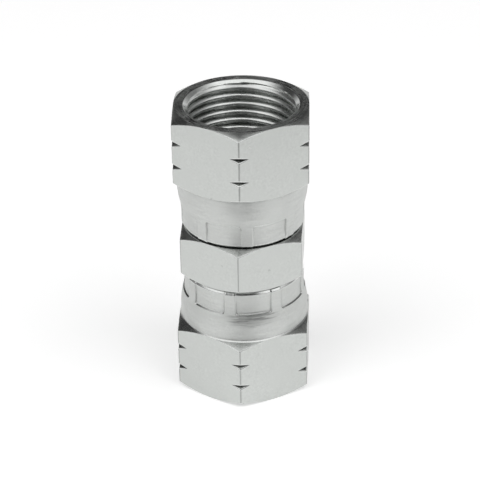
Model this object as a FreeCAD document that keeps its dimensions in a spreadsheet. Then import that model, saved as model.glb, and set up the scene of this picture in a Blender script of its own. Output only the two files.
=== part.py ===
"""Straight hydraulic connector: a turned body with a hexagon, between two crimped swivel nuts.

Millimetres, +Z along the flow axis. The origin is the centre of the lower nut's mouth face,
on which the connector stands. The front is -Y, and turns are counterclockwise seen from above.
"""
import FreeCAD, Part
import os
import Sketcher
import PartDesign
from math import pi
from FreeCAD import Placement, Rotation, Vector

# Driving dimensions: name, value in mm or degrees, and what it is.
SIZES = (
    ("thread_major_diameter", 26.99, "root of the nut's internal thread, 1-1/16 in with 12 turns per inch"),
    ("thread_height", 1.045, "root to crest of the thread, which is drawn as a plain bore at its crests"),
    ("thread_run_out", 1.3, "end of the thread to the head's face"),
    ("countersink_margin", 0.155, "countersink beyond the thread's root, on the radius"),
    ("countersink_angle", 45.0, "slope of the countersink"),
    ("nut_wall", 2.38, "thread's root to the middle of a wrench flat"),
    ("nut_hex_length", 17.8, "length of the nut's hexagon at the middle of a flat"),
    ("corner_bevel", 30.0, "slope of the bevel that rounds every hexagon end"),
    ("corner_groove_depth", 1.15, "depth of the V grooves across the nut's corners"),
    ("corner_groove_angle", 60.0, "included angle of those V grooves"),
    ("corner_groove_first", 6.1, "mouth face to the first V groove"),
    ("corner_groove_spacing", 5.9, "first V groove to the second"),
    ("skirt_step", 0.225, "middle of a flat down to the round skirt"),
    ("skirt_straight", 2.5, "straight length of the skirt next to the hexagon"),
    ("skirt_taper", 7.0, "length over which the crimped skirt curves in"),
    ("skirt_end_length", 3.35, "straight length of the skirt's crimped end"),
    ("skirt_edge_break", 0.35, "broken edge round the skirt's end"),
    ("skirt_wall", 2.75, "skirt's outside to the chamber round the head"),
    ("crimp_draw", 0.85, "how far crimping draws the skirt in, on the radius"),
    ("crimp_length", 5.85, "length of the marks that the crimping jaws leave"),
    ("crimp_depth", 0.35, "depth of those marks"),
    ("crimp_width_angle", 34.0, "width of one jaw's mark round the skirt"),
    ("crimp_jaws", 8, "number of crimping jaws"),
    ("body_flats", 29.1, "body hexagon across its wrench flats"),
    ("body_hex_width", 11.8, "length of the body's hexagon"),
    ("body_bore", 15.8, "flow passage"),
    ("neck_length", 4.85, "body's hexagon to the foot of the head's shoulder"),
    ("head_length", 7.45, "straight length of the head"),
    ("head_shoulder", 1.75, "height of the shoulder behind the head, above the neck"),
    ("head_shoulder_angle", 45.0, "slope of that shoulder"),
    ("head_edge_break", 0.5, "broken edge round the head's face"),
    ("seat_land", 0.85, "flat ring of the head's face round the sealing cone"),
    ("seat_angle", 37.0, "concave sealing cone, measured from the axis"),
    ("swivel_gap", 0.3, "skirt's end to the body's hexagon"),
    ("head_clearance", 0.15, "head to the nut's chamber, on the radius"),
    ("neck_clearance", 0.5, "neck to the crimped skirt, on the radius"),
    ("shoulder_clearance", 0.2, "head's shoulder to the crimped skirt, square to both"),
    ("lower_nut_turn", -4.1, "turn of the lower nut's front corner"),
    ("body_turn", -4.9, "turn of the body's front corner"),
    ("upper_nut_turn", -2.3, "turn of the upper nut's front corner"),
    ("lower_crimp_turn", -9.6, "turn of a rib between crimp marks from that nut's corner"),
    ("upper_crimp_turn", -5.8, "the same on the upper nut, seen from its mouth"),
)

# Radii that follow from the driving dimensions.
THREAD_ROOT = "(sizes.thread_major_diameter / 2)"
THREAD_CREST = f"({THREAD_ROOT} - sizes.thread_height)"
COUNTERSINK = f"({THREAD_ROOT} + sizes.countersink_margin)"
NUT_FLAT = f"({THREAD_ROOT} + sizes.nut_wall)"
NUT_CORNER = f"({NUT_FLAT} / cos(30))"
GROOVE_BOTTOM = f"({NUT_CORNER} - sizes.corner_groove_depth)"
SKIRT = f"({NUT_FLAT} - sizes.skirt_step)"
SKIRT_END = f"({SKIRT} - sizes.crimp_draw)"
CHAMBER = f"({SKIRT} - sizes.skirt_wall)"
HEAD = f"({CHAMBER} - sizes.head_clearance)"
NECK = f"({HEAD} - sizes.head_shoulder)"
LIP = f"({NECK} + sizes.neck_clearance)"
SEAT = f"({HEAD} - sizes.head_edge_break - sizes.seat_land)"
PASSAGE = "(sizes.body_bore / 2)"
BODY_FLAT = "(sizes.body_flats / 2)"
BODY_CORNER = f"({BODY_FLAT} / cos(30))"

# Lengths along the axis: the body's from its middle, the nut's from its mouth face.
HALF_HEX = "(sizes.body_hex_width / 2)"
SHOULDER_SLOPE = "tan(sizes.head_shoulder_angle)"
NECK_END = f"({HALF_HEX} + sizes.neck_length)"
SHOULDER_END = f"({NECK_END} + sizes.head_shoulder * {SHOULDER_SLOPE})"
HEAD_FACE = f"({SHOULDER_END} + sizes.head_length)"
TAPER_START = "(sizes.nut_hex_length + sizes.skirt_straight)"
TAPER_END = f"({TAPER_START} + sizes.skirt_taper)"
NUT_LENGTH = f"({TAPER_END} + sizes.skirt_end_length)"
HALF_LENGTH = f"({HALF_HEX} + sizes.swivel_gap + {NUT_LENGTH})"
THREAD_END = f"({HALF_LENGTH} - {HEAD_FACE} - sizes.thread_run_out)"


def make_sizes(doc):
    """The sheet of driving dimensions."""
    sheet = doc.addObject("Spreadsheet::Sheet", "sizes")
    for row, (name, value, meaning) in enumerate(SIZES, start=1):
        sheet.set(f"A{row}", name)
        sheet.set(f"B{row}", str(value))
        sheet.set(f"C{row}", meaning)
        sheet.setAlias(f"B{row}", name)
    doc.recompute()


def number(item, expression):
    """What an expression on the sheet is worth."""
    return float(item.Document.getObject("sizes").evalExpression(expression))


def origin_feature(body, role):
    """One of the body's own planes or axes."""
    return next(feature for feature in body.Origin.OriginFeatures if feature.Role == role)


def make_sketch(body, name, plane):
    """An empty sketch on one of the body's own planes."""
    sketch = body.newObject("Sketcher::SketchObject", name)
    sketch.AttachmentSupport = [(origin_feature(body, plane), "")]
    sketch.MapMode = "FlatFace"
    return sketch


def hold(sketch, kind, line, end, expression):
    """Ties one end of a line to a distance from the sketch's origin, or to an axis for "0"."""
    axis = {"DistanceX": -2, "DistanceY": -1}[kind]
    if expression == "0":
        sketch.addConstraint(Sketcher.Constraint("PointOnObject", line, end, axis))
        return
    value = number(sketch, expression)
    index = sketch.addConstraint(Sketcher.Constraint(kind, -1, 1, line, end, value))
    sketch.setExpression(f"Constraints[{index}]", expression)


def draw_outline(sketch, corners):
    """A closed outline of straight lines through corners given as (radius, height) expressions."""
    points = [Vector(number(sketch, radius), number(sketch, height), 0) for radius, height in corners]
    count = len(points)
    for index in range(count):
        sketch.addGeometry(Part.LineSegment(points[index], points[(index + 1) % count]), False)
    for index, (radius, height) in enumerate(corners):
        sketch.addConstraint(Sketcher.Constraint("Coincident", index, 2, (index + 1) % count, 1))
        hold(sketch, "DistanceX", index, 1, radius)
        hold(sketch, "DistanceY", index, 1, height)


def revolve(body, kind, name, sketch):
    """Turns a sketch about the body's axis, to add (Revolution) or remove (Groove) metal."""
    feature = body.newObject(f"PartDesign::{kind}", name)
    feature.Profile = sketch
    feature.ReferenceAxis = (sketch, ["V_Axis"])
    feature.Angle = 360
    return feature


def turn_profile(body, kind, name, corners):
    """Turns an outline of straight lines about the body's axis."""
    sketch = make_sketch(body, f"{name}_profile", "XZ_Plane")
    draw_outline(sketch, corners)
    return revolve(body, kind, name, sketch)


def make_hexagon(body, corner, length, midplane):
    """A hexagon prism with one corner on the front."""
    sketch = make_sketch(body, "hexagon_outline", "XY_Plane")
    radius = number(sketch, corner)
    points = [Rotation(Vector(0, 0, 1), 60 * step).multVec(Vector(0, -radius, 0)) for step in range(6)]
    for step in range(6):
        sketch.addGeometry(Part.LineSegment(points[step], points[(step + 1) % 6]), False)
    circle = sketch.addGeometry(Part.Circle(Vector(0, 0, 0), Vector(0, 0, 1), radius), True)
    sketch.addConstraint(Sketcher.Constraint("Coincident", circle, 3, -1, 1))
    size = sketch.addConstraint(Sketcher.Constraint("Radius", circle, radius))
    sketch.setExpression(f"Constraints[{size}]", corner)
    for step in range(6):
        sketch.addConstraint(Sketcher.Constraint("Coincident", step, 2, (step + 1) % 6, 1))
        sketch.addConstraint(Sketcher.Constraint("PointOnObject", step, 1, circle))
    for step in range(1, 6):
        sketch.addConstraint(Sketcher.Constraint("Equal", 0, step))
    sketch.addConstraint(Sketcher.Constraint("PointOnObject", 0, 1, -2))
    pad = body.newObject("PartDesign::Pad", "hexagon")
    pad.Profile = sketch
    pad.Midplane = midplane
    pad.setExpression("Length", length)


def bevel_corners(body, name, flat, height, side):
    """Bevels a hexagon's end at that height. side is 1 where the metal lies above it, -1 below."""
    reach = f"(2 * {flat})"
    corners = [
        (flat, height),
        (reach, height),
        (reach, f"{height} + {side} * {flat} * tan(sizes.corner_bevel)"),
    ]
    turn_profile(body, "Groove", name, corners)


def groove_corners(body, name, height):
    """A V groove, turned all round, that only reaches the nut's corners."""
    reach = f"(2 * {NUT_FLAT})"
    spread = f"({reach} - {GROOVE_BOTTOM}) * tan(sizes.corner_groove_angle / 2)"
    corners = [
        (GROOVE_BOTTOM, height),
        (reach, f"{height} - {spread}"),
        (reach, f"{height} + {spread}"),
    ]
    turn_profile(body, "Groove", name, corners)


def draw_skirt(sketch):
    """Half section of the skirt: straight, curving in through two equal arcs, straight again."""
    radius, end_radius = number(sketch, SKIRT), number(sketch, SKIRT_END)
    base, start = number(sketch, "sizes.nut_hex_length"), number(sketch, TAPER_START)
    end, top = number(sketch, TAPER_END), number(sketch, NUT_LENGTH)
    edge = number(sketch, "sizes.skirt_edge_break")
    straight = [
        (Vector(0, base, 0), Vector(radius, base, 0)),
        (Vector(radius, base, 0), Vector(radius, start, 0)),
        (Vector(end_radius, end, 0), Vector(end_radius, top - edge, 0)),
        (Vector(end_radius, top - edge, 0), Vector(end_radius - edge, top, 0)),
        (Vector(end_radius - edge, top, 0), Vector(0, top, 0)),
        (Vector(0, top, 0), Vector(0, base, 0)),
    ]
    for line_start, line_end in straight:
        sketch.addGeometry(Part.LineSegment(line_start, line_end), False)
    floor, wall, lip, slant, rim, axis = range(6)
    draw = radius - end_radius
    bend = ((end - start) ** 2 + draw ** 2) / (4 * draw)
    outer = Part.Circle(Vector(radius - bend, start, 0), Vector(0, 0, 1), bend)
    inner = Part.Circle(Vector(end_radius + bend, end, 0), Vector(0, 0, 1), bend)
    sweep = outer.parameter(Vector(radius - draw / 2, (start + end) / 2, 0))
    bulge = sketch.addGeometry(Part.ArcOfCircle(outer, 0, sweep), False)
    hollow = sketch.addGeometry(Part.ArcOfCircle(inner, pi, pi + sweep), False)
    relations = [
        ("Coincident", floor, 2, wall, 1),
        ("Coincident", lip, 2, slant, 1),
        ("Coincident", slant, 2, rim, 1),
        ("Coincident", rim, 2, axis, 1),
        ("Coincident", axis, 2, floor, 1),
        ("Tangent", wall, 2, bulge, 1),
        ("Tangent", bulge, 2, hollow, 2),
        ("Tangent", hollow, 1, lip, 1),
        ("Equal", bulge, hollow),
        ("Horizontal", floor),
        ("Horizontal", rim),
        ("Vertical", wall),
        ("Vertical", lip),
    ]
    for relation in relations:
        sketch.addConstraint(Sketcher.Constraint(*relation))
    hold(sketch, "DistanceX", floor, 1, "0")
    hold(sketch, "DistanceX", axis, 1, "0")
    hold(sketch, "DistanceX", wall, 1, SKIRT)
    hold(sketch, "DistanceX", lip, 1, SKIRT_END)
    hold(sketch, "DistanceX", rim, 1, f"{SKIRT_END} - sizes.skirt_edge_break")
    hold(sketch, "DistanceY", wall, 1, "sizes.nut_hex_length")
    hold(sketch, "DistanceY", wall, 2, TAPER_START)
    hold(sketch, "DistanceY", lip, 1, TAPER_END)
    hold(sketch, "DistanceY", lip, 2, f"{NUT_LENGTH} - sizes.skirt_edge_break")
    hold(sketch, "DistanceY", rim, 1, NUT_LENGTH)


def press_crimp_marks(body, crimp_turn):
    """One jaw's mark pressed into the skirt's end, repeated round it."""
    sketch = make_sketch(body, "crimp_profile", "XZ_Plane")
    sketch.AttachmentOffset = Placement(Vector(0, 0, 0), Rotation(Vector(0, 1, 0), 1))
    between_ribs = "180 / sizes.crimp_jaws"
    turn = f"sizes.{crimp_turn} - 90 + {between_ribs}"
    sketch.setExpression("AttachmentOffset.Rotation.Angle", turn)
    floor, low = f"{SKIRT_END} - sizes.crimp_depth", f"{NUT_LENGTH} - sizes.crimp_length"
    corners = [(floor, low), (NUT_FLAT, low), (NUT_FLAT, NUT_LENGTH), (floor, NUT_LENGTH)]
    draw_outline(sketch, corners)
    mark = revolve(body, "Groove", "crimp_mark", sketch)
    mark.Midplane = True
    mark.setExpression("Angle", "sizes.crimp_width_angle")
    marks = body.newObject("PartDesign::PolarPattern", "crimp_marks")
    marks.Originals = [mark]
    marks.Axis = (origin_feature(body, "Z_Axis"), [""])
    marks.Angle = 360
    marks.setExpression("Occurrences", "sizes.crimp_jaws")
    body.Tip = marks


def bore_nut(body):
    """Countersink, threaded bore, chamber for the head, and the crimped lip behind it."""
    offset = "sizes.shoulder_clearance / cos(sizes.head_shoulder_angle)"
    lip_foot = f"({HALF_LENGTH} - {SHOULDER_END} + {offset} - sizes.head_clearance * {SHOULDER_SLOPE})"
    corners = [
        ("0", "0"),
        (COUNTERSINK, "0"),
        (THREAD_CREST, f"({COUNTERSINK} - {THREAD_CREST}) / tan(sizes.countersink_angle)"),
        (THREAD_CREST, THREAD_END),
        (CHAMBER, THREAD_END),
        (CHAMBER, lip_foot),
        (LIP, f"{lip_foot} + ({CHAMBER} - {LIP}) * {SHOULDER_SLOPE}"),
        (LIP, NUT_LENGTH),
        ("0", NUT_LENGTH),
    ]
    body.Tip = turn_profile(body, "Groove", "bore", corners)


def make_nut(doc, label, crimp_turn):
    """A swivel nut with its mouth face on its own XY plane and its skirt above."""
    body = doc.addObject("PartDesign::Body", label)
    make_hexagon(body, NUT_CORNER, "sizes.nut_hex_length", False)
    bevel_corners(body, "mouth_bevel", NUT_FLAT, "0", 1)
    bevel_corners(body, "back_bevel", NUT_FLAT, "sizes.nut_hex_length", -1)
    groove_corners(body, "first_groove", "sizes.corner_groove_first")
    groove_corners(body, "second_groove", "(sizes.corner_groove_first + sizes.corner_groove_spacing)")
    skirt = make_sketch(body, "skirt_profile", "XZ_Plane")
    draw_skirt(skirt)
    revolve(body, "Revolution", "skirt", skirt)
    doc.recompute()
    press_crimp_marks(body, crimp_turn)
    doc.recompute()
    bore_nut(body)
    return body


def make_body(doc):
    """The turned body about its own middle: hexagon, two necks and heads, flow passage."""
    body = doc.addObject("PartDesign::Body", "body")
    make_hexagon(body, BODY_CORNER, "sizes.body_hex_width", True)
    bevel_corners(body, "upper_bevel", BODY_FLAT, HALF_HEX, -1)
    bevel_corners(body, "lower_bevel", BODY_FLAT, f"-{HALF_HEX}", 1)
    tail_corners = [
        ("0", "0"),
        (NECK, "0"),
        (NECK, NECK_END),
        (HEAD, SHOULDER_END),
        (HEAD, f"{HEAD_FACE} - sizes.head_edge_break"),
        (f"{HEAD} - sizes.head_edge_break", HEAD_FACE),
        ("0", HEAD_FACE),
    ]
    tail = turn_profile(body, "Revolution", "tail", tail_corners)
    passage_corners = [
        ("0", "0"),
        (PASSAGE, "0"),
        (PASSAGE, f"{HEAD_FACE} - ({SEAT} - {PASSAGE}) / tan(sizes.seat_angle)"),
        (SEAT, HEAD_FACE),
        ("0", HEAD_FACE),
    ]
    passage = turn_profile(body, "Groove", "passage", passage_corners)
    doc.recompute()
    both_ends = body.newObject("PartDesign::Mirrored", "both_ends")
    both_ends.Originals = [tail, passage]
    both_ends.MirrorPlane = (origin_feature(body, "XY_Plane"), [""])
    body.Tip = both_ends
    return body


def place(body, turn, height, tilt):
    """Stands a piece on the axis at that height. A tilt of 180 turns it upside down."""
    body.setExpression("Placement.Base.z", height)
    body.setExpression("Placement.Rotation.Roll", tilt)
    body.setExpression("Placement.Rotation.Yaw", turn)


def check(doc, pieces):
    """Stops if any object failed or any piece is not one sound solid."""
    for item in doc.Objects:
        if "Invalid" in item.State or "Error" in item.State:
            raise RuntimeError(f"{item.Name} failed: {item.State}")
    for piece in pieces:
        shape = piece.Shape
        if shape.isNull() or not shape.isValid() or len(shape.Solids) != 1:
            raise RuntimeError(f"{piece.Label} is not one sound solid")
        print(f"{piece.Label}: {shape.Volume:.1f} mm3")


def main():
    doc = FreeCAD.newDocument("connector")
    make_sizes(doc)
    lower_nut = make_nut(doc, "lower_swivel_nut", "lower_crimp_turn")
    body = make_body(doc)
    upper_nut = make_nut(doc, "upper_swivel_nut", "upper_crimp_turn")
    place(lower_nut, "sizes.lower_nut_turn", "0", "0")
    place(body, "sizes.body_turn", HALF_LENGTH, "0")
    place(upper_nut, "sizes.upper_nut_turn + 180", f"2 * {HALF_LENGTH}", "180")
    doc.recompute()
    pieces = [lower_nut, body, upper_nut]
    check(doc, pieces)
    os.makedirs("parts", exist_ok=True)
    for piece in pieces:
        piece.Shape.exportStep(f"parts/{piece.Label}.step")


main()
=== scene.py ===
"""The looks of a straight hydraulic connector: zinc-plated steel with its thread, crimp marks and wear.

Sizes are millimetres in the nut's or the body's own frame, and turn into metres when a mesh is made.
Azimuths are degrees from the front (-Y), positive to the right and counterclockwise seen from above.
"""

from math import atan2, cos, pi, radians, sin, tan

import bmesh
import bpy
import numpy as np
from mathutils import Matrix, Vector


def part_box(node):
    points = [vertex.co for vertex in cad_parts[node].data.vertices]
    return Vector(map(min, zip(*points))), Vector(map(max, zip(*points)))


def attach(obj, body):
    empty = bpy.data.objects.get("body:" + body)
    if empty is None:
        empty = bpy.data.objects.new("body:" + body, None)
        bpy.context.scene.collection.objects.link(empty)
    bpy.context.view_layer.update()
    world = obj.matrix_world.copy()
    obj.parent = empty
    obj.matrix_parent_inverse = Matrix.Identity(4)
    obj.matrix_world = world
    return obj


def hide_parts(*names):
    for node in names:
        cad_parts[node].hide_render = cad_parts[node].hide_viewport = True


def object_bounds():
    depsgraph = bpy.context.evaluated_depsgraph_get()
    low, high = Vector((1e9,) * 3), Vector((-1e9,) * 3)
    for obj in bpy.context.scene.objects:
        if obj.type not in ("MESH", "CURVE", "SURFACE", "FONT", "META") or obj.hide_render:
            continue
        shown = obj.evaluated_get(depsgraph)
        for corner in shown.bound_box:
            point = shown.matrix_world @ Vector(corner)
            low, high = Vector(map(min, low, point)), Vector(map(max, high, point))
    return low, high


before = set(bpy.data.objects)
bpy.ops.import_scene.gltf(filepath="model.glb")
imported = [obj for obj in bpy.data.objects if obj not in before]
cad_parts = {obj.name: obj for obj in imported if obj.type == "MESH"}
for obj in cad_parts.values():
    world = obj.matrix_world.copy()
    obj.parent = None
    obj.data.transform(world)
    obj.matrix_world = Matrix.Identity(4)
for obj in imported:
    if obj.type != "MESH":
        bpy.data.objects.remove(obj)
CAD_BOX = [list(corner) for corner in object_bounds()]

MM = 0.001
LENGTH = CAD_BOX[1][2] / MM
NUT_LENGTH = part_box("lower_swivel_nut")[1].z / MM

# The nut's thread, measured from the mouth face
THREAD_ROOT = 13.495
THREAD_CREST = 12.45
THREAD_PITCH = 2.117
THREAD_END = 15.6
THREAD_FLANK = radians(30)
HALF_ROOT = THREAD_PITCH / 16
CREST_AT_BACK = 1.93
COUNTERSINK = 13.65

# How much of half a crest and of a flank is rounded, and how long the thread's two fading ends are
CREST_EASE = 0.9
FLANK_EASE = 0.7
RUN_OUT = 1.2
RUN_IN = 1.6

# The nut's outside
NUT_FLAT = 15.875
HEX_END = 17.8
GROOVE_HEIGHTS = (6.1, 12.0)
GROOVE_BOTTOM = 17.18
GROOVE_FLANK = radians(30)
SKIRT = 15.65
TAPER_START = 20.3
TAPER_END = 27.3
SKIRT_END = 14.8
EDGE_BREAK = 0.42
EDGE_BREAK_HEIGHT = 0.56
FOOT_SPREAD = 0.1
FOOT_RISE = 0.18

# The crimp marks: their ledge, and how many degrees wide each is
LEDGE = NUT_LENGTH - 5.85
CRIMP_JAWS = 8
CRIMP_WIDTH = 34.0

# Radii of a mark's floor at the ledge, between the two levels above it, and at the nut's end
CRIMP_FOOT = 14.66
CRIMP_FLOOR = 14.45
CRIMP_END = 14.62
CRIMP_LEVELS = (2.0, 3.6)

# A mark's rounded corners, its sloping wall, and the ridge that stands up round it
CRIMP_CORNER = 0.55
CRIMP_WALL = 0.22
CRIMP_WALL_EDGE = 0.7
RIDGE_RISE = 0.05
RIDGE_PLACE = 0.34
RIDGE_SPREAD = 0.16

# By what share the marks get shallower towards every other rib
LOWER_UNEVEN, UPPER_UNEVEN = 0.1, 0.4

# The nut's inside, past the thread
CHAMBER = 12.9
LIP = 11.5
LIP_FOOT = 24.483

# The body, measured from its middle
BODY_FLAT = 14.55
HALF_HEX = 5.9
NECK = 11.0
NECK_END = 10.75
SHOULDER_END = 12.5
HEAD = 12.75
HEAD_FACE = 19.95
HEAD_EDGE = 0.5
SEAT = 11.4
PASSAGE = 7.9
SEAT_FOOT = HEAD_FACE - (SEAT - PASSAGE) / tan(radians(37))

# Every hexagon's bevels and corners
BEVEL = tan(radians(30))
BEVEL_INSET = 0.04
CORNER_ROUNDING = 0.3
WORN_CORNER = 0.68
BEVEL_EASE = 0.16
BEVEL_RIM_EASE = 0.06
BEVEL_LEAST = 0.02
BEVEL_CROWN = 0.018

# How far the rounding of other edges reaches
MILLED_EASE = 0.28
FILLET_EASE = 0.3
TURNED_EASE = 0.1
FINE_EASE = 0.05

# Azimuths of each hexagon's front corner, and of one of the ribs on each skirt
LOWER_NUT_TURN, BODY_TURN, UPPER_NUT_TURN = -4.1, -4.9, -2.3
LOWER_RIB_TURN, UPPER_RIB_TURN = -13.7, 3.5

# Where mesh columns stand: degrees from a corner, and from a crimp mark's side into the mark
NUT_CORNER_COLUMNS = (0, 0.35, 0.7, 1.2, 2.2, 4, 6.2, 7.5)
BODY_CORNER_COLUMNS = (0, 0.35, 0.7, 1.1, 1.8, 3)
WALL_COLUMNS = (-2, -1.35, -0.85, -0.5, -0.2, 0.1, 0.4, 0.8, 1.3, 1.9, 2.6)

# The widest and narrowest gaps between columns, in degrees
NUT_SPACING, BODY_SPACING = 2.0, 2.5
LEAST_SPACING = 0.05

# Rows of the skirt: up to the ledge, on either side of it, and one past it
TAPER_ROWS = 6
LEDGE_ROWS = 9
LEDGE_ROWS_GAP = 0.1
PAST_LEDGE = LEDGE + 1.4

# Points this near to each other, in metres, become one, and folds past this angle stay crisp
SAME_POINT = 2e-7
SHARP_ANGLE = radians(35)

# The finishes, in the order of each mesh's materials
DRAWN, TURNED, BEVELLED, FORMED, CUT, LAND, EDGE, CORNER = range(8)

# Nicks on the whole part: azimuth, height, radius of the wall there, size
NICKS = (
    (-2.1, 48.1, 14.7, 0.45),
    (52.1, 44.0, 14.6, 0.35),
    (-27.3, 56.2, 15.9, 0.35),
    (-35.7, 29.9, 14.45, 0.35),
    (24.1, 36.3, 14.55, 0.5),
    (-20.0, 38.1, 15.05, 0.4),
)
NICK_WANDER = 1.2
NICK_WANDER_SCALE = 1800
NICK_DEPTH = 0.03
NICK_SHADE = 0.8

# The scuffed patch on the lower nut's skirt: azimuth, height, radius of the wall there
SCUFFED = (8.0, 23.6, 15.2)

# It fades between these distances from its middle, once they are stretched along the axes
SCUFF_EDGE = (3.0, 8.5)
SCUFF_STRETCH = (1, 0.5, 3.2)
SCUFF_SHADE = 0.46

# Scratches round the lower nut's skirt: azimuth, height, radius of the wall there, half length
SCRATCHES = (
    (20.5, 24.35, 15.05, 2.5),
    (0.5, 24.05, 15.1, 1.9),
    (9.0, 24.25, 15.05, 2.2),
    (15.0, 23.55, 15.15, 2.3),
    (-2.0, 23.3, 15.2, 1.6),
)
SCRATCH_WIDTH = 0.13

# The shares of a nick's size, and of a scratch's length and width, that are marked in full
NICK_CORE = 0.3
SCRATCH_CORE_LENGTH, SCRATCH_CORE_WIDTH = 0.7, 0.3

# Turned lines: how many there are in a metre of an end face, and how often in a metre they break off
LATHE_LINES = (2200, 240)
SCUFF_LINES = (6500, 130)

# The share of those lines that a wall along the axis has
WALL_LINES = 0.6

# The scales of the zinc's noise patterns
CLOUDS, PATCHES, FLECKS, GRAIN = 260, 190, 1700, 900

# How a pattern is sharpened: from and to which value it fades, and the results there
PATCH_FADE = (0.38, 0.64, 0.25, 1)
SCUFF_FADE = (0.52, 0.4, 0.35, 0.9)
HOLLOW_SHADE_FADE = (0.45, 0.97)
WEAR_FADE = (0.2, 1.1)
# How far, in millimetres, the painted shade in hollows looks for nearby surfaces
HOLLOW_SHADE_REACH = 1.0

# How far the roughness varies, and how much of that follows the turned lines
ROUGHNESS_SPREAD = 0.07
LINE_WEAR = 0.5

# The floor, in metres, with its brightness in the metal's reflection and to the camera
FLOOR_RADIUS = 0.28
FLOOR_CENTRE = (-0.02, 0.13)
FLOOR_HEIGHT = -0.00002
FLOOR_GLOW = 0.3
FLOOR_GLOW_SEEN = 0.39

# The soft lamps: azimuth and brightness of each, their elevation, and their distance and size in metres
LEFT_LAMP, RIGHT_LAMP = (-50, 1.5), (50, 1.3)
LAMP_ELEVATION = 50
LAMP_DISTANCE = 0.9
LAMP_SIZE = (0.8, 0.6)

# The studio's bright parts: brightness, and the elevations between which they fade in
PANEL_GLOW, PANEL_EDGE = 1.15, (16, 34)
REAR_GLOW, REAR_EDGE = 0.55, (49, 60)
SIDE_GLOW = 0.2

# The horizon: brightness at and above it, and the sines of the elevations between which it changes
HORIZON_GLOW, HORIZON_EDGE = (0.78, 0.05), (0.05, 0.4)

# The front half of the studio fades into the rear half where the direction's Y is between -this and this
FRONT_EDGE = 0.3

# Places in the studio: azimuth, elevation, and how far from there they start and stop fading
ZENITH_GAP = (180, 83, 6, 17)
CAMERA_GAP = (0, 28, 20, 36)
REAR_GAP = (180, 48, 14, 27)
CAMERA_SIDE = (0, 0, 10, 35)
SIDE_WALL = (112, 22, 10, 36)

# How much of the light is missing in those places
ZENITH_LOSS, CAMERA_LOSS, REAR_LOSS, CAMERA_SIDE_LOSS = 0.97, 1, 0.9, 0.6

# The camera, in degrees and millimetres. It aims at a point beside the middle of the part.
CAMERA_ELEVATION = 29.4438
CAMERA_ROLL = 0.9666
CAMERA_DISTANCE = 408.1
CAMERA_LENS = 125.815
CAMERA_SENSOR = 36
CAMERA_AIM = (-0.806, 0, 0.241)


# Meshes

def off_centre(azimuths, centre, period):
    """Signed distance in degrees from each azimuth to the nearest of centre, centre + period and so on."""
    return (azimuths - centre + period / 2) % period - period / 2


def make_columns(features, spacing):
    """Azimuths from -180 to 180 for the mesh's columns. features lists (azimuth, period, offsets)."""
    marks = [-180.0, 180.0]
    for centre, period, offsets in features:
        for step in range(round(360 / period)):
            marks += [off_centre(centre + step * period + offset, 0, 360) for offset in offsets]
    columns = [-180.0]
    for mark in sorted(marks):
        gap = mark - columns[-1]
        if gap > LEAST_SPACING:
            count = int(np.ceil(gap / spacing))
            columns += [columns[-1] + gap * step / count for step in range(1, count)] + [mark]
    columns[-1] = 180.0
    return np.array(columns)


def hexagon_radius(azimuths, corner, flat):
    """Distance from the axis to a hexagon with slightly rounded corners."""
    off = np.radians(np.abs(off_centre(azimuths, corner, 60)))
    centre = (flat - CORNER_ROUNDING) / cos(pi / 6)
    edge = atan2(CORNER_ROUNDING * sin(pi / 6), centre + CORNER_ROUNDING * cos(pi / 6))
    inside = np.maximum(CORNER_ROUNDING ** 2 - (centre * np.sin(off)) ** 2, 0)
    rounded = centre * np.cos(off) + np.sqrt(inside)
    return np.where(off < edge, rounded, flat / np.cos(pi / 6 - off))


def curve_between(start, corner, end, count):
    """Points of a curve from start to end that leaves and arrives along the corner's sides."""
    steps = [index / count for index in range(count + 1)]
    return [start * (1 - step) ** 2 + corner * 2 * step * (1 - step) + end * step ** 2 for step in steps]


def ease_corner(before, corner, after, reach):
    """Points of the curve that rounds a corner, going at most the stated reach along each side."""
    back, ahead = before - corner, after - corner
    back_length = np.maximum(np.linalg.norm(back, axis=-1, keepdims=True), 1e-9)
    ahead_length = np.maximum(np.linalg.norm(ahead, axis=-1, keepdims=True), 1e-9)
    reach = np.minimum(reach, 0.45 * np.minimum(back_length, ahead_length))
    start = corner + back / back_length * reach
    end = corner + ahead / ahead_length * reach
    return curve_between(start, corner, end, 4)


def round_corners(outline, columns):
    """Rows of points, and their finishes, from an outline's corners (radius, height, ease, finish).

    ease is how far the rounding reaches. The finish is that of the surface from a corner to the next,
    the same for all columns or one for each.
    """
    points = np.stack([np.stack(np.broadcast_arrays(radius, height, columns)[:2], -1)
                       for radius, height, _, _ in outline], 1)
    before, after = np.roll(points, 1, 1), np.roll(points, -1, 1)
    rows, finishes = [], []
    for index, (_, _, ease, finish) in enumerate(outline):
        curve = [points[:, index]]
        if ease:
            curve = ease_corner(before[:, index], points[:, index], after[:, index], ease)
        rows += curve
        # Rounded rows take the edge finish, whose lighter colour is partly a painted highlight
        finishes += [EDGE] * (len(curve) - 1) + [finish]
    return np.stack(rows, 1), np.stack([np.broadcast_to(finish, len(columns)) for finish in finishes], 1)


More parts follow.
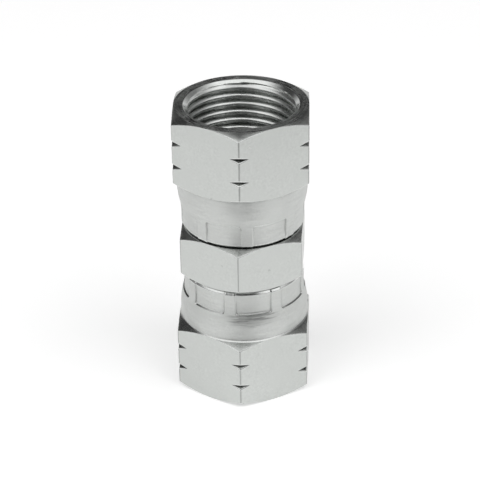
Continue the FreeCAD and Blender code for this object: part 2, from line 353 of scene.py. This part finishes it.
def make_ring(name, columns, outline, materials):
    """A closed solid that has the outline at every column. The last column lies on the first."""
    rows, finishes = round_corners(outline, columns)
    angles = np.radians(columns)[:, None]
    radius, height = rows[..., 0], rows[..., 1]
    points = np.stack([radius * np.sin(angles), -radius * np.cos(angles), height], -1)
    count = rows.shape[1]
    faces = []
    for column in range(len(columns) - 1):
        here, there = column * count, (column + 1) * count
        for row in range(count):
            above = (row + 1) % count
            faces.append((here + row, there + row, there + above, here + above))
    mesh = bpy.data.meshes.new(name)
    mesh.from_pydata((points.reshape(-1, 3) * MM).tolist(), [], faces)
    mesh.polygons.foreach_set("material_index", finishes[:-1].ravel().tolist())
    for material in materials:
        mesh.materials.append(material)
    close_up(mesh)
    mesh.polygons.foreach_set("use_smooth", [True] * len(mesh.polygons))
    mesh.set_sharp_from_angle(angle=SHARP_ANGLE)
    sharpen_thread_mouth(mesh)
    piece = bpy.data.objects.new(name, mesh)
    bpy.context.scene.collection.objects.link(piece)
    weigh = piece.modifiers.new("even_shading", "WEIGHTED_NORMAL")
    weigh.keep_sharp = True
    weigh.weight = 100
    return piece


def sharpen_thread_mouth(mesh):
    """Keeps a crisp line where the countersink cuts the thread."""
    skin = bmesh.new()
    skin.from_mesh(mesh)
    for edge in skin.edges:
        finishes = {face.material_index for face in edge.link_faces}
        if EDGE in finishes and finishes & {CUT, LAND}:
            edge.smooth = False
    skin.to_mesh(mesh)
    skin.free()


def close_up(mesh):
    """Joins the points that lie on each other, so that the mesh is one closed skin."""
    skin = bmesh.new()
    skin.from_mesh(mesh)
    bmesh.ops.remove_doubles(skin, verts=skin.verts, dist=SAME_POINT)
    loose = [edge for edge in skin.edges if not edge.link_faces]
    bmesh.ops.delete(skin, geom=loose, context="EDGES")
    open_edges = sum(1 for edge in skin.edges if len(edge.link_faces) != 2)
    print(f"{mesh.name}: {len(skin.faces)} faces, {open_edges} open edges")
    skin.to_mesh(mesh)
    skin.free()


# The nut

def skirt_radius(height):
    """The crimped skirt curves in through two equal arcs."""
    length, draw = TAPER_END - TAPER_START, SKIRT - SKIRT_END
    bend = (length ** 2 + draw ** 2) / (4 * draw)
    height = np.clip(height, TAPER_START, TAPER_END)
    bulge = SKIRT - bend + np.sqrt(bend ** 2 - np.minimum(height - TAPER_START, length / 2) ** 2)
    hollow = SKIRT_END + bend - np.sqrt(bend ** 2 - np.minimum(TAPER_END - height, length / 2) ** 2)
    return np.where(height < TAPER_START + length / 2, bulge, hollow)


def crimped_radius(columns, height, rib, uneven):
    """Radius and finish of the skirt with the jaws' marks pressed in.

    The metal stands up a little round each mark. uneven is the share by which the marks get
    shallower towards every other rib.
    """
    off = off_centre(columns, rib + 180 / CRIMP_JAWS, 360 / CRIMP_JAWS)
    past_side = np.radians(np.abs(off) - CRIMP_WIDTH / 2) * CRIMP_FLOOR + CRIMP_CORNER
    past_ledge = LEDGE + CRIMP_CORNER - height
    outside = np.hypot(np.maximum(past_side, 0), np.maximum(past_ledge, 0))
    distance = outside + np.minimum(np.maximum(past_side, past_ledge), 0) - CRIMP_CORNER
    share = np.clip(0.5 - distance / CRIMP_WALL, 0, 1)
    pressed = share * share * (3 - 2 * share)
    ridge = RIDGE_RISE * np.exp(-((distance - RIDGE_PLACE) / RIDGE_SPREAD) ** 2)
    free = skirt_radius(height)
    levels = (0, *CRIMP_LEVELS, NUT_LENGTH - LEDGE)
    floor = np.interp(height - LEDGE, levels, (CRIMP_FOOT, CRIMP_FLOOR, CRIMP_FLOOR, CRIMP_END))
    depth = 1 - uneven * (1 + np.cos(np.radians(columns - rib) * CRIMP_JAWS / 2)) / 2
    on_ledge = (np.abs(distance) < CRIMP_WALL * CRIMP_WALL_EDGE) & (past_ledge > past_side)
    finish = np.where(on_ledge, EDGE, FORMED)
    return free + (ridge - pressed * (free - floor)) * depth, finish


def thread_profile():
    """Half a pitch of the thread from the middle of a crest: offsets, radii and finishes."""
    flank = (THREAD_ROOT - THREAD_CREST) * tan(THREAD_FLANK)
    crest_corner = np.array([THREAD_PITCH / 2 - HALF_ROOT - flank, THREAD_CREST])
    root_corner = np.array([THREAD_PITCH / 2 - HALF_ROOT, THREAD_ROOT])
    crest = np.array([0, THREAD_CREST])
    root = np.array([THREAD_PITCH / 2, THREAD_ROOT])
    on_crest = crest_corner + (crest - crest_corner) * CREST_EASE
    on_flank = crest_corner + (root_corner - crest_corner) * FLANK_EASE
    crest_curve = curve_between(on_crest, crest_corner, on_flank, 5)
    points = np.array([crest] + crest_curve + [root_corner, root])
    finishes = [LAND] * 6 + [CUT] * 3
    return points[:, 0], points[:, 1], finishes


def thread_radius(columns, height):
    """Radius of the right-handed thread, shallow at the mouth and faded out at its deep end."""
    offsets, radii, _ = thread_profile()
    centre = CREST_AT_BACK + THREAD_PITCH * (columns - 180) / 360
    off = np.abs((height - centre + THREAD_PITCH / 2) % THREAD_PITCH - THREAD_PITCH / 2)
    run_out = np.clip((THREAD_END - height) / RUN_OUT, 0, 1)
    run_in = np.clip(height / RUN_IN, 0, 1)
    return THREAD_CREST + (np.interp(off, offsets, radii) - THREAD_CREST) * run_out * run_in


def thread_rows(columns):
    """The thread's outline from its deep end to the mouth, with its rows along the helix."""
    offsets, _, finishes = thread_profile()
    half = list(zip(offsets, finishes))
    pitch = half[:-1] + [(THREAD_PITCH - offset, finish) for offset, finish in reversed(half[1:])]
    top = COUNTERSINK - THREAD_ROOT
    turns = int((THREAD_END - CREST_AT_BACK) / THREAD_PITCH) + 2
    rows = []
    for turn in range(turns, -2, -1):
        for offset, finish in reversed(pitch):
            centre = CREST_AT_BACK + THREAD_PITCH * (turn + (columns - 180) / 360)
            height = np.clip(centre + offset, top, THREAD_END)
            thread, countersink = thread_radius(columns, height), COUNTERSINK - height
            surface = np.where(countersink > thread, EDGE, finish)
            rows.append((np.maximum(thread, countersink), height, 0, surface))
    return rows


def bevel_outline(side, rim, end, into, finish):
    """The crowned bevel from a hexagon's end face out to its flats, which start at the last point."""
    reach = side - rim
    steps = (0.25, 0.5, 0.75)
    crown = [BEVEL_CROWN * reach ** 2 * 4 * step * (1 - step) for step in steps]
    points = [(rim, end, BEVEL_RIM_EASE, BEVELLED)]
    points += [(rim + reach * step, end + into * (reach * step * BEVEL - rise), 0, BEVELLED)
               for step, rise in zip(steps, crown)]
    return points + [(side, end + into * reach * BEVEL, BEVEL_EASE, finish)]


def bevel_back(side, rim, end, into, finish):
    """The same bevel, from the flats in to the end face."""
    points = bevel_outline(side, rim, end, into, BEVELLED)[::-1]
    return points[:-1] + [points[-1][:3] + (finish,)]


def flat_finish(columns, corner):
    """Drawn flats with worn corners between them."""
    return np.where(np.abs(off_centre(columns, corner, 60)) < WORN_CORNER, CORNER, DRAWN)


def skirt_heights():
    """Heights of the skirt's rows, closest together where the crimp marks start."""
    near_ledge = [LEDGE + step * LEDGE_ROWS_GAP for step in range(-LEDGE_ROWS, LEDGE_ROWS + 1)]
    before = list(np.linspace(TAPER_START, near_ledge[0], TAPER_ROWS + 1)[:-1])
    return before + near_ledge + [PAST_LEDGE, TAPER_END]


def nut_outline(columns, corner, rib, uneven):
    """Section of the swivel nut at each column, from the countersink round the outside and back."""
    side = hexagon_radius(columns, corner, NUT_FLAT)
    flats = flat_finish(columns, corner)
    rim = NUT_FLAT - BEVEL_INSET
    groove = np.minimum(side, GROOVE_BOTTOM)
    spread = (side - groove) * tan(GROOVE_FLANK)
    outline = [(COUNTERSINK, 0, MILLED_EASE, TURNED)] + bevel_outline(side, rim, 0, 1, flats)
    for height in GROOVE_HEIGHTS:
        outline += [
            (side, height - spread, MILLED_EASE, TURNED),
            (groove, height, FINE_EASE, TURNED),
            (side, height + spread, MILLED_EASE, flats),
        ]
    foot = np.minimum(side - BEVEL_LEAST, NUT_FLAT + FOOT_SPREAD)
    outline += bevel_back(side, foot, HEX_END - (foot - rim) * BEVEL, -1, EDGE)
    outline.append((SKIRT, HEX_END + FOOT_RISE, FINE_EASE, FORMED))
    for height in skirt_heights():
        radius, finish = crimped_radius(columns, height, rib, uneven)
        outline.append((radius, height, 0, finish))
    end, _ = crimped_radius(columns, NUT_LENGTH, rib, uneven)
    return outline + [
        (end, NUT_LENGTH - EDGE_BREAK_HEIGHT, TURNED_EASE, EDGE),
        (end - EDGE_BREAK, NUT_LENGTH, TURNED_EASE, TURNED),
        (LIP, NUT_LENGTH, TURNED_EASE, TURNED),
        (LIP, LIP_FOOT + CHAMBER - LIP, 0, TURNED),
        (CHAMBER, LIP_FOOT, 0, TURNED),
        (CHAMBER, THREAD_END, 0, TURNED),
    ] + thread_rows(columns)


def make_nut(name, corner, rib, uneven, materials):
    """A swivel nut with its mouth at the bottom."""
    half_rib = (360 / CRIMP_JAWS - CRIMP_WIDTH) / 2
    around_corner = [side * step for step in NUT_CORNER_COLUMNS for side in (-1, 1)]
    around_rib = [side * (half_rib + step) for step in WALL_COLUMNS for side in (-1, 1)]
    features = [(corner, 60, around_corner), (rib, 360 / CRIMP_JAWS, around_rib)]
    columns = make_columns(features, NUT_SPACING)
    return make_ring(name, columns, nut_outline(columns, corner, rib, uneven), materials)


# The body

def body_outline(columns):
    """Section of the body at each column, about its middle."""
    side = hexagon_radius(columns, BODY_TURN, BODY_FLAT)
    flats = flat_finish(columns, BODY_TURN)
    rim = BODY_FLAT - BEVEL_INSET
    half = bevel_back(side, rim, HALF_HEX, -1, TURNED) + [
        (NECK, HALF_HEX, FILLET_EASE, TURNED),
        (NECK, NECK_END, FILLET_EASE, TURNED),
        (HEAD, SHOULDER_END, TURNED_EASE, TURNED),
        (HEAD, HEAD_FACE - HEAD_EDGE, FINE_EASE, TURNED),
        (HEAD - HEAD_EDGE, HEAD_FACE, FINE_EASE, TURNED),
        (SEAT, HEAD_FACE, FINE_EASE, CUT),
        (PASSAGE, SEAT_FOOT, TURNED_EASE, CUT),
    ]
    mirrored = [(radius, -height, ease, TURNED) for radius, height, ease, _ in reversed(half)]
    mirrored[0] = (PASSAGE, -SEAT_FOOT, TURNED_EASE, CUT)
    mirrored[-1] = mirrored[-1][:3] + (flats,)
    return half + mirrored


def make_body(name, materials):
    """The body, standing at its place between the nuts."""
    around_corner = [side * step for step in BODY_CORNER_COLUMNS for side in (-1, 1)]
    columns = make_columns([(BODY_TURN, 60, around_corner)], BODY_SPACING)
    piece = make_ring(name, columns, body_outline(columns), materials)
    piece.data.transform(Matrix.Translation((0, 0, LENGTH / 2 * MM)))
    return piece


# Shader nodes

def feed(tree, socket, value):
    """Links a socket to another node's output, or sets it to a number."""
    if isinstance(value, bpy.types.NodeSocket):
        tree.links.new(value, socket)
    else:
        socket.default_value = value


def calculate(tree, operation, *values):
    """A Math node's result."""
    node = tree.nodes.new("ShaderNodeMath")
    node.operation = operation
    for socket, value in zip(node.inputs, values):
        feed(tree, socket, value)
    return node.outputs["Value"]


def vector_of(tree, operation, *values):
    """The Vector Math node for that operation."""
    node = tree.nodes.new("ShaderNodeVectorMath")
    node.operation = operation
    for socket, value in zip(node.inputs, values):
        feed(tree, socket, value)
    return node


def length_along(tree, vector, stretch):
    """Length of the vector once it is stretched by these factors along the axes."""
    stretched = vector_of(tree, "MULTIPLY", vector, stretch).outputs["Vector"]
    return vector_of(tree, "LENGTH", stretched).outputs["Value"]


def fade(tree, value, start, end, low, high):
    """Goes smoothly from low at start to high at end."""
    node = tree.nodes.new("ShaderNodeMapRange")
    node.interpolation_type = "SMOOTHSTEP"
    names = ("Value", "From Min", "From Max", "To Min", "To Max")
    for name, item in zip(names, (value, start, end, low, high)):
        feed(tree, node.inputs[name], item)
    return node.outputs["Result"]


def noise(tree, place, scale, detail):
    """Smooth noise from 0 to 1."""
    node = tree.nodes.new("ShaderNodeTexNoise")
    feed(tree, node.inputs["Vector"], place)
    feed(tree, node.inputs["Scale"], scale)
    feed(tree, node.inputs["Detail"], detail)
    return node.outputs["Fac"]


# Materials

def point_at(azimuth, height, radius):
    """The place, in metres, at that azimuth and height on a wall of that radius."""
    turn = radians(azimuth)
    return (radius * sin(turn) * MM, -radius * cos(turn) * MM, height * MM)


def turned_lines(tree, place, density, breaks):
    """Noise that runs round the axis, in fine lines on walls, cones and end faces alike.

    density is how many lines a metre of an end face has, and breaks how often they break off.
    """
    split = tree.nodes.new("ShaderNodeSeparateXYZ")
    feed(tree, split.inputs[0], place)
    radius = length_along(tree, place, (1, 1, 0))
    across = calculate(tree, "MULTIPLY_ADD", split.outputs["Z"], WALL_LINES, radius)
    lined = tree.nodes.new("ShaderNodeCombineXYZ")
    feed(tree, lined.inputs["X"], calculate(tree, "MULTIPLY", split.outputs["X"], breaks))
    feed(tree, lined.inputs["Y"], calculate(tree, "MULTIPLY", split.outputs["Y"], breaks))
    feed(tree, lined.inputs["Z"], calculate(tree, "MULTIPLY", across, density))
    return noise(tree, lined.outputs["Vector"], 1, 3)


def nick_mask(tree, place):
    """1 in the nicks that handling has left, 0 elsewhere."""
    wander = tree.nodes.new("ShaderNodeTexNoise")
    feed(tree, wander.inputs["Vector"], place)
    wander.inputs["Scale"].default_value = NICK_WANDER_SCALE
    shift = vector_of(tree, "SUBTRACT", wander.outputs["Color"], (0.5, 0.5, 0.5)).outputs["Vector"]
    reach = (NICK_WANDER * MM,) * 3
    moved = vector_of(tree, "MULTIPLY_ADD", shift, reach, place).outputs["Vector"]
    mask = 0
    for azimuth, height, radius, size in NICKS:
        away = vector_of(tree, "DISTANCE", moved, point_at(azimuth, height, radius)).outputs["Value"]
        spot = fade(tree, away, size * MM, NICK_CORE * size * MM, 0, 1)
        mask = calculate(tree, "MAXIMUM", mask, spot)
    return mask


def scratch_mask(tree, place):
    """1 in the longer scratches round the lower nut's skirt, 0 elsewhere."""
    mask = 0
    for azimuth, height, radius, reach in SCRATCHES:
        away = vector_of(tree, "SUBTRACT", place, point_at(azimuth, height, radius)).outputs["Vector"]
        along = length_along(tree, away, (1, 1, 0))
        above = length_along(tree, away, (0, 0, 1))
        length = fade(tree, along, reach * MM, SCRATCH_CORE_LENGTH * reach * MM, 0, 1)
        line = fade(tree, above, SCRATCH_WIDTH * MM, SCRATCH_CORE_WIDTH * SCRATCH_WIDTH * MM, 0, 1)
        mask = calculate(tree, "MAXIMUM", mask, calculate(tree, "MULTIPLY", length, line))
    return mask


def scuff_mask(tree, place):
    """Fine scuffs and longer scratches just under one of the lower nut's crimp marks."""
    azimuth, height, radius = SCUFFED
    away = vector_of(tree, "SUBTRACT", place, point_at(azimuth, height, radius)).outputs["Vector"]
    distance = length_along(tree, away, SCUFF_STRETCH)
    full, none = SCUFF_EDGE
    region = fade(tree, distance, none * MM, full * MM, 0, 1)
    scuffs = fade(tree, turned_lines(tree, place, *SCUFF_LINES), *SCUFF_FADE)
    scuffs = calculate(tree, "MULTIPLY", region, scuffs)
    return calculate(tree, "MAXIMUM", scuffs, scratch_mask(tree, place))


def varied_shade(tree, place, cloud, turned, streaks, mottle):
    """Brightness about 1 that varies in clouds, and with flecks and turned lines in patches."""
    fine = noise(tree, place, FLECKS, 3)
    patches = fade(tree, noise(tree, place, PATCHES, 2), *PATCH_FADE)
    shade = calculate(tree, "MULTIPLY_ADD", calculate(tree, "SUBTRACT", cloud, 0.5), mottle, 1)
    flecks = calculate(tree, "MULTIPLY", calculate(tree, "SUBTRACT", fine, 0.5), 3 * mottle)
    shade = calculate(tree, "MULTIPLY_ADD", flecks, patches, shade)
    if streaks:
        lined = calculate(tree, "MULTIPLY", calculate(tree, "SUBTRACT", turned, 0.5), 2 * streaks)
        shade = calculate(tree, "MULTIPLY_ADD", lined, patches, shade)
    return shade


def darkened(tree, shade, mask, low):
    """The shade, times low where the mask is 1."""
    return calculate(tree, "MULTIPLY", shade, fade(tree, mask, 0, 1, 1, low))


def paint_shade_in_hollows(tree, shade, crease):
    """Painted shade: the shade, darkened down to its share crease in hollows, creases, corners and gaps,
    where nearby surfaces block the light.
    """
    hollow = tree.nodes.new("ShaderNodeAmbientOcclusion")
    hollow.only_local = True
    hollow.samples = 8
    hollow.inputs["Distance"].default_value = HOLLOW_SHADE_REACH * MM
    return calculate(tree, "MULTIPLY", shade, fade(tree, hollow.outputs["AO"], *HOLLOW_SHADE_FADE, crease, 1))


def brush_round_axis(tree, shader, anisotropy):
    """Stretches the reflections across lines that run round the axis."""
    shader.inputs["Anisotropic"].default_value = anisotropy
    shader.inputs["Anisotropic Rotation"].default_value = 0.25
    round_axis = tree.nodes.new("ShaderNodeTangent")
    round_axis.direction_type = "RADIAL"
    round_axis.axis = "Z"
    feed(tree, shader.inputs["Tangent"], round_axis.outputs["Tangent"])


def bump_surface(tree, shader, relief):
    """Shades the surface as if it rose by the relief, in millimetres."""
    bump = tree.nodes.new("ShaderNodeBump")
    bump.inputs["Strength"].default_value = 1.0
    bump.inputs["Distance"].default_value = MM
    feed(tree, bump.inputs["Height"], relief)
    feed(tree, shader.inputs["Normal"], bump.outputs["Normal"])


def zinc(name, colour, roughness, anisotropy=0.0, lines=0.0, streaks=0.0, mottle=0.06, grain=0.0,
         crease=0.35):
    """Zinc plating on steel.

    lines and grain are the depths, in metres, of turned lines and of grain. streaks and mottle are how
    much the colour varies along the lines and in patches. crease is the share of the brightness that
    is left in hollows, creases and corners, where shade is painted into the colour.
    """
    material = bpy.data.materials.new(name)
    material.use_nodes = True
    tree = material.node_tree
    shader = tree.nodes["Principled BSDF"]
    shader.inputs["Metallic"].default_value = 1.0
    place = tree.nodes.new("ShaderNodeTexCoord").outputs["Object"]
    cloud = noise(tree, place, CLOUDS, 5)
    turned = turned_lines(tree, place, *LATHE_LINES)
    nicks = nick_mask(tree, place)

    shade = varied_shade(tree, place, cloud, turned, streaks, mottle)
    # Painted shade: the colour is darkened in hollows, corners and creases, such as crimp marks, thread
    # roots and the skirt's foot
    shade = paint_shade_in_hollows(tree, shade, crease)
    shade = darkened(tree, shade, nicks, NICK_SHADE)
    shade = darkened(tree, shade, scuff_mask(tree, place), SCUFF_SHADE)
    dimmed = vector_of(tree, "SCALE", colour)
    feed(tree, dimmed.inputs["Scale"], shade)
    feed(tree, shader.inputs["Base Color"], dimmed.outputs["Vector"])

    lined = calculate(tree, "MULTIPLY", turned, LINE_WEAR if lines else 0.0)
    worn = calculate(tree, "ADD", cloud, lined)
    smooth, rough = roughness - ROUGHNESS_SPREAD, roughness + ROUGHNESS_SPREAD
    feed(tree, shader.inputs["Roughness"], fade(tree, worn, *WEAR_FADE, smooth, rough))
    if anisotropy:
        brush_round_axis(tree, shader, anisotropy)

    relief = calculate(tree, "MULTIPLY", turned, lines / MM)
    relief = calculate(tree, "MULTIPLY_ADD", noise(tree, place, GRAIN, 4), grain / MM, relief)
    relief = calculate(tree, "MULTIPLY_ADD", nicks, -NICK_DEPTH, relief)
    bump_surface(tree, shader, relief)
    return material


def make_finishes():
    """The zinc's eight finishes, in the order in which the meshes number them."""
    return [
        zinc("zinc_drawn", (0.602, 0.62, 0.602), 0.34, mottle=0.09, grain=0.000006),
        zinc("zinc_turned", (0.575, 0.592, 0.575), 0.25, anisotropy=0.5, lines=0.00006, streaks=2.3,
             mottle=1.0),
        zinc("zinc_bevelled", (0.52, 0.535, 0.52), 0.25, anisotropy=0.4, lines=0.00002, streaks=0.45,
             mottle=0.2),
        # The crimped skirt has the strongest painted shade in its hollows
        zinc("zinc_formed", (0.67, 0.685, 0.668), 0.4, anisotropy=0.8, lines=0.00008, streaks=0.2,
             mottle=0.08, crease=0.05),
        zinc("zinc_cut", (0.72, 0.735, 0.72), 0.14, lines=0.00003, streaks=0.5, mottle=0.15, crease=1),
        zinc("zinc_land", (0.7, 0.715, 0.7), 0.25, lines=0.00003, streaks=0.4, crease=1),
        # Rounded edges and crimp ledges: shinier where worn, and their lighter colour is also a painted
        # highlight along the edges
        zinc("zinc_edge_wear_and_highlight", (0.68, 0.695, 0.68), 0.22, mottle=0.1, streaks=0.3, grain=0.000004,
             crease=0.45),
        zinc("zinc_corner", (0.4, 0.41, 0.4), 0.4, grain=0.00001),
    ]


# Studio

def floor_material():
    """Plain white that glows enough to look white, and less in the metal's reflections."""
    material = bpy.data.materials.new("floor_white")
    material.use_nodes = True
    tree = material.node_tree
    shader = tree.nodes["Principled BSDF"]
    shader.inputs["Base Color"].default_value = (0.8, 0.8, 0.8, 1)
    shader.inputs["Roughness"].default_value = 0.9
    shader.inputs["Specular IOR Level"].default_value = 0.1
    shader.inputs["Emission Color"].default_value = (1, 1, 1, 1)
    path = tree.nodes.new("ShaderNodeLightPath")
    glossy, through = path.outputs["Is Glossy Ray"], path.outputs["Is Transmission Ray"]
    mirrored = calculate(tree, "MULTIPLY", calculate(tree, "MAXIMUM", glossy, through), FLOOR_GLOW)
    glow = calculate(tree, "MULTIPLY_ADD", path.outputs["Is Camera Ray"], FLOOR_GLOW_SEEN, mirrored)
    feed(tree, shader.inputs["Emission Strength"], glow)
    material.cycles.emission_sampling = "NONE"
    return material


def make_floor():
    """A round white floor that keeps the object's shadow."""
    mesh = bpy.data.meshes.new("floor")
    turns = [2 * pi * step / 96 for step in range(96)]
    x, y = FLOOR_CENTRE
    edge = [(x + FLOOR_RADIUS * cos(turn), y + FLOOR_RADIUS * sin(turn), FLOOR_HEIGHT) for turn in turns]
    mesh.from_pydata(edge, [], [tuple(range(len(turns)))])
    mesh.materials.append(floor_material())
    floor = bpy.data.objects.new("floor", mesh)
    bpy.context.scene.collection.objects.link(floor)


def direction_to(azimuth, elevation):
    """Unit vector that points to that azimuth and elevation, in degrees."""
    turn, rise = radians(azimuth), radians(elevation)
    return Vector((sin(turn) * cos(rise), -cos(turn) * cos(rise), sin(rise)))


def softbox(name, azimuth, radiance):
    """A rectangular lamp that faces the object. Its power gives the stated brightness of its surface.

    The metal mirrors the world's bright panel instead of the lamp.
    """
    width, height = LAMP_SIZE
    lamp = bpy.data.lights.new(name, "AREA")
    lamp.shape = "RECTANGLE"
    lamp.size = width
    lamp.size_y = height
    lamp.energy = radiance * pi * width * height
    away = direction_to(azimuth, LAMP_ELEVATION)
    holder = bpy.data.objects.new(name, lamp)
    holder.location = Vector((0, 0, LENGTH / 2 * MM)) + away * LAMP_DISTANCE
    holder.rotation_euler = away.to_track_quat("Z", "Y").to_euler()
    holder.visible_glossy = False
    bpy.context.scene.collection.objects.link(holder)


def near_direction(tree, direction, azimuth, elevation, inner, outer):
    """1 within inner degrees of a direction, fading to 0 at outer degrees."""
    centre = direction_to(azimuth, elevation)
    cosine = vector_of(tree, "DOT_PRODUCT", direction, centre).outputs["Value"]
    return fade(tree, cosine, cos(radians(outer)), cos(radians(inner)), 0, 1)


def dim_near(tree, light, direction, where, amount):
    """The light, less that amount of itself near one of the places in the studio."""
    near = near_direction(tree, direction, *where)
    return calculate(tree, "MULTIPLY", light, calculate(tree, "MULTIPLY_ADD", near, -amount, 1))


def glow_above(tree, height, edge, glow):
    """Fades in between two elevations, in degrees, to the brightness glow."""
    low, high = edge
    return fade(tree, height, sin(radians(low)), sin(radians(high)), 0, glow)


def studio_light(tree, direction):
    """A wide bright panel above the front, a dimmer one behind, a pale horizon and a glow at the side.

    The front panel has a dark gap round the camera, the rear one has one low in its middle, and there
    is a third just behind the zenith. The horizon is dimmer in front.
    """
    split = tree.nodes.new("ShaderNodeSeparateXYZ")
    feed(tree, split.inputs[0], direction)
    height = split.outputs["Z"]
    front = fade(tree, split.outputs["Y"], FRONT_EDGE, -FRONT_EDGE, 0, 1)

    panel = glow_above(tree, height, PANEL_EDGE, PANEL_GLOW)
    panel = dim_near(tree, panel, direction, CAMERA_GAP, CAMERA_LOSS)
    panel = calculate(tree, "MULTIPLY", panel, front)
    rear = glow_above(tree, height, REAR_EDGE, REAR_GLOW)
    rear = calculate(tree, "MULTIPLY", rear, calculate(tree, "SUBTRACT", 1, front))
    rear = dim_near(tree, rear, direction, REAR_GAP, REAR_LOSS)
    overhead = calculate(tree, "ADD", panel, rear)
    overhead = dim_near(tree, overhead, direction, ZENITH_GAP, ZENITH_LOSS)

    horizon = fade(tree, height, *HORIZON_EDGE, *HORIZON_GLOW)
    horizon = dim_near(tree, horizon, direction, CAMERA_SIDE, CAMERA_SIDE_LOSS)
    side = calculate(tree, "MULTIPLY", near_direction(tree, direction, *SIDE_WALL), SIDE_GLOW)
    return calculate(tree, "ADD", calculate(tree, "ADD", overhead, horizon), side)


def make_world():
    """The studio that the metal mirrors. The camera itself sees plain white instead."""
    world = bpy.data.worlds.new("studio")
    bpy.context.scene.world = world
    world.use_nodes = True
    tree = world.node_tree
    direction = tree.nodes.new("ShaderNodeTexCoord").outputs["Generated"]
    path = tree.nodes.new("ShaderNodeLightPath")
    shown = tree.nodes.new("ShaderNodeMix")
    feed(tree, shown.inputs["Factor"], path.outputs["Is Camera Ray"])
    feed(tree, shown.inputs["A"], studio_light(tree, direction))
    shown.inputs["B"].default_value = 1.0
    background = tree.nodes["Background"]
    background.inputs["Color"].default_value = (1, 1, 1, 1)
    feed(tree, background.inputs["Strength"], shown.outputs["Result"])


def make_camera():
    """The photograph's viewpoint, fitted to its outline."""
    elevation, roll = radians(CAMERA_ELEVATION), radians(CAMERA_ROLL)
    x, y, z = CAMERA_AIM
    target = Vector((x, y, LENGTH / 2 + z)) * MM
    back = Vector((0, -cos(elevation), sin(elevation)))
    right = Vector((1, 0, 0))
    up = back.cross(right)
    tilted_right = right * cos(roll) - up * sin(roll)
    tilted_up = right * sin(roll) + up * cos(roll)
    camera = bpy.data.objects.new("camera", bpy.data.cameras.new("camera"))
    camera.data.lens = CAMERA_LENS
    camera.data.sensor_width = CAMERA_SENSOR
    camera.data.clip_start = 0.01
    turn = Matrix((tilted_right, tilted_up, back)).transposed()
    camera.matrix_world = Matrix.Translation(target + back * CAMERA_DISTANCE * MM) @ turn.to_4x4()
    bpy.context.scene.collection.objects.link(camera)
    bpy.context.scene.camera = camera


def build():
    """The two nuts and the body, each in the place of its CAD solid."""
    finishes = make_finishes()
    lower = make_nut("lower_nut_detailed", LOWER_NUT_TURN, LOWER_RIB_TURN, LOWER_UNEVEN, finishes)
    upper = make_nut("upper_nut_detailed", -UPPER_NUT_TURN, -UPPER_RIB_TURN, UPPER_UNEVEN, finishes)
    upper.data.transform(Matrix.Translation((0, 0, LENGTH * MM)) @ Matrix.Rotation(pi, 4, "Y"))
    body = make_body("body_detailed", finishes)
    for piece, ride_on, node in (
        (lower, "lower_nut", "lower_swivel_nut"),
        (body, "body", "body"),
        (upper, "upper_nut", "upper_swivel_nut"),
    ):
        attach(piece, ride_on)
        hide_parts(node)


bpy.context.scene.view_settings.view_transform = "Standard"
build()
make_floor()
softbox("left_softbox", *LEFT_LAMP)
softbox("right_softbox", *RIGHT_LAMP)
make_world()
make_camera()
